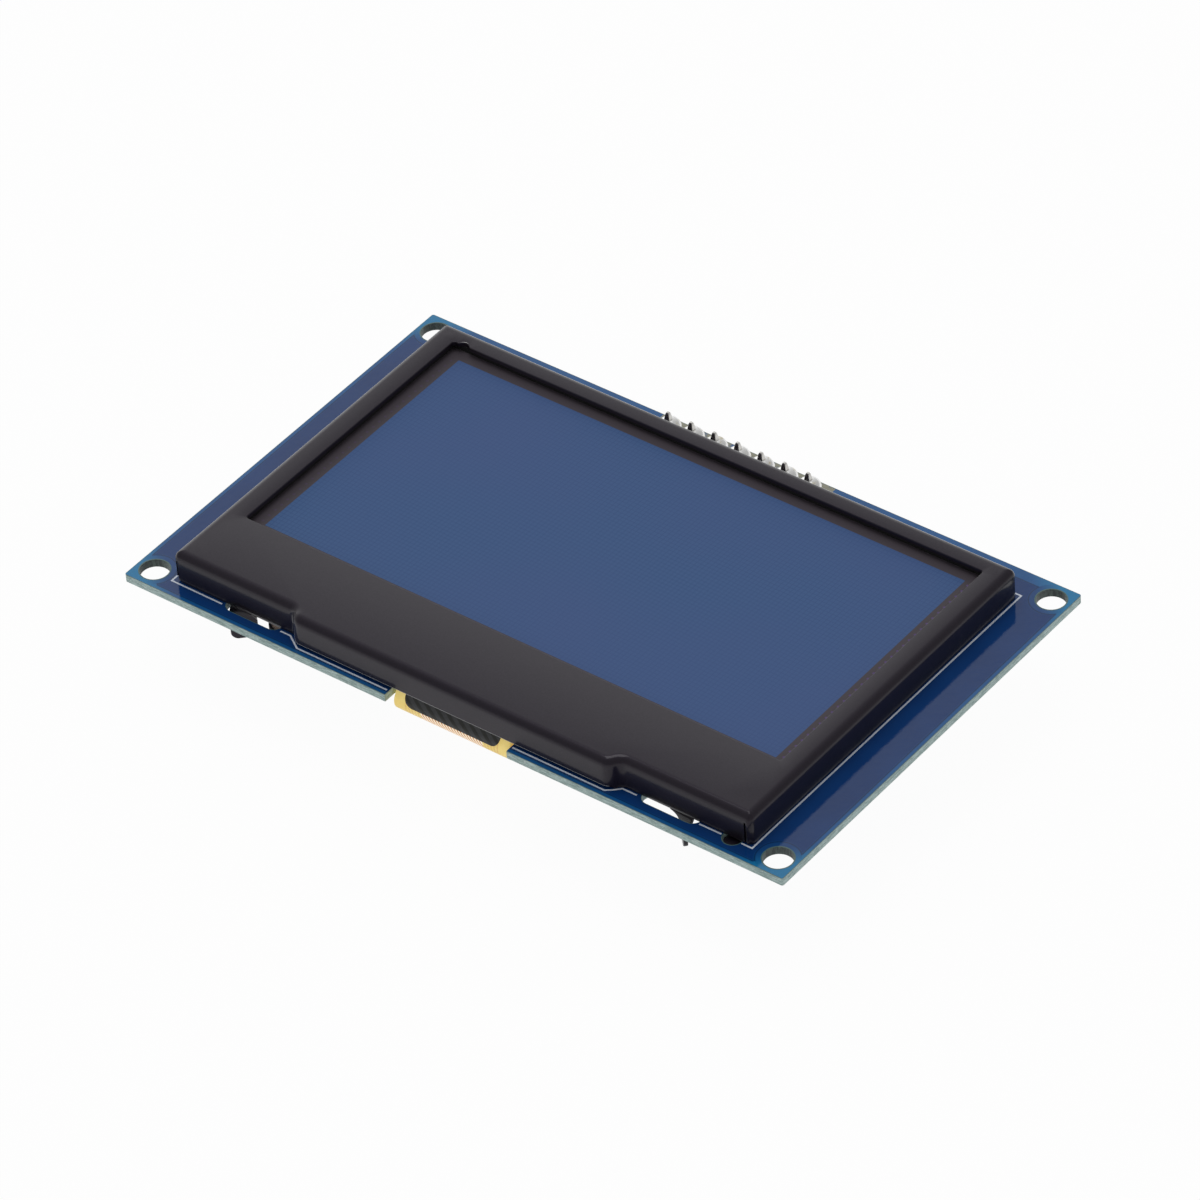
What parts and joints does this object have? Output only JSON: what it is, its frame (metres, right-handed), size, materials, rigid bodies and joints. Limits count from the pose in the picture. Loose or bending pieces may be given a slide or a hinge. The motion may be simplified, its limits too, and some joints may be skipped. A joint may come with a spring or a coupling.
{
  "type": "small oled display module",
  "caption": "Small graphic OLED display module: a dot matrix panel behind a folded black steel bezel on a blue circuit board with corner holes and a pin header along one long edge.",
  "frame": {"origin": "centre of the four corner holes, on the circuit board's front face", "axes": "+Z points out of the display, +X runs along the long side to the right as the display is read with the pin header at the top, +Y points to the pin header"},
  "size_m": [0.0708, 0.0436, 0.0125],
  "materials": {
    "board": "glossy blue solder mask on glass fibre board",
    "bezel_paint": "satin black paint on folded steel sheet",
    "polariser": "smooth anti-glare plastic film",
    "panel_glass": "thin float glass",
    "dot_matrix": "organic layers and metal film, unlit",
    "seal_bead": "cured epoxy bead",
    "cap_glass": "etched cover glass",
    "absorber": "dry white sheet",
    "silicon": "bare silicon die",
    "foam": "closed cell foam",
    "tape": "double sided foam tape",
    "polyimide": "yellow polyimide film",
    "cover_coat": "black cover coat",
    "solder": "bright solder",
    "header_plastic": "moulded black plastic",
    "pin_plating": "tin plated square pin",
    "chip_plastic": "moulded epoxy",
    "tinned_lead": "tinned",
    "ferrite": "sintered ferrite",
    "enamelled_wire": "enamelled copper wire",
    "capacitor_body": "fired ceramic",
    "resistor_body": "glazed ceramic"
  },
  "bodies": {
    "root": {"pcb": "board", "bezel": "bezel_paint", "polariser_film": "polariser", "display_glass": "panel_glass", "pixel_matrix": "dot_matrix", "edge_seal": "seal_bead", "cap_glass": "cap_glass", "moisture_absorber": "absorber", "driver_chip": "silicon", "window_gasket": "foam", "panel_tape": "tape", "flex_circuit": "polyimide", "flex_cover": "cover_coat", "flex_joints": "solder", "header_strip": "header_plastic", "header_pin_1": "pin_plating", "header_pin_2": "pin_plating", "header_pin_3": "pin_plating", "header_pin_4": "pin_plating", "header_pin_5": "pin_plating", "header_pin_6": "pin_plating", "header_pin_7": "pin_plating", "header_solder": "solder", "boost_converter": "chip_plastic", "regulator": "chip_plastic", "chip_leads": "tinned_lead", "coil_core": "ferrite", "coil_winding": "enamelled_wire", "rectifier_diode": "chip_plastic", "ceramic_capacitors": "capacitor_body", "chip_resistors": "resistor_body", "chip_terminals": "tinned_lead", "solder_pads": "solder"}
  },
  "joints": []
}
